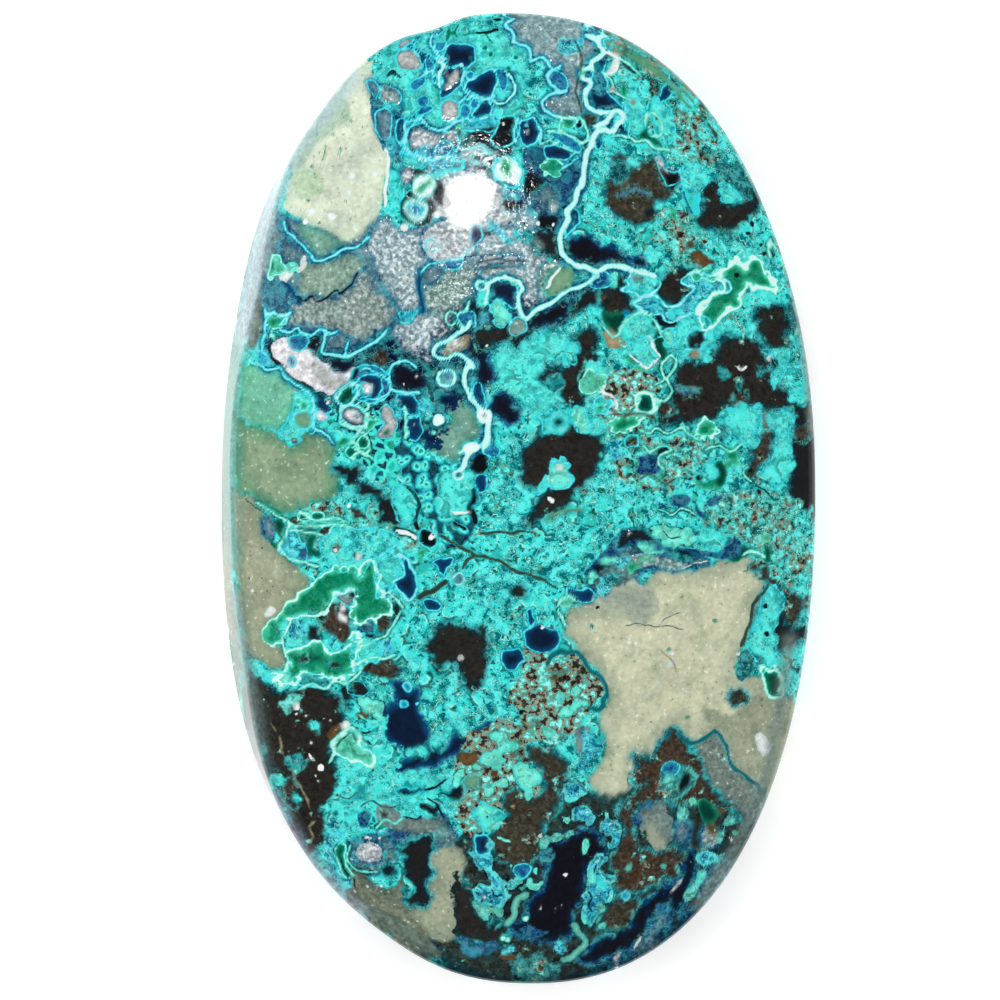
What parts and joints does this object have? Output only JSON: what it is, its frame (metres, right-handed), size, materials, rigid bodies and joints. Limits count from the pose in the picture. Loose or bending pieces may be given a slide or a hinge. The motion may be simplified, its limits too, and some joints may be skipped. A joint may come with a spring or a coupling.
{
  "type": "polished shattuckite",
  "caption": "Oval cabochon of polished shattuckite: one domed, flat-backed gemstone with turquoise, deep blue, green, black and pale quartz areas.",
  "frame": {"origin": "middle of the flat back, under the middle of the stone's box", "axes": "+Y along the oval's long axis, +X across it, +Z out of the domed face; the stone rests on its flat back at z = 0"},
  "size_m": [0.0252, 0.041, 0.006],
  "materials": {
    "polished_shattuckite": "polished, glossy"
  },
  "bodies": {
    "root": {"cabochon": "polished_shattuckite"}
  },
  "joints": []
}
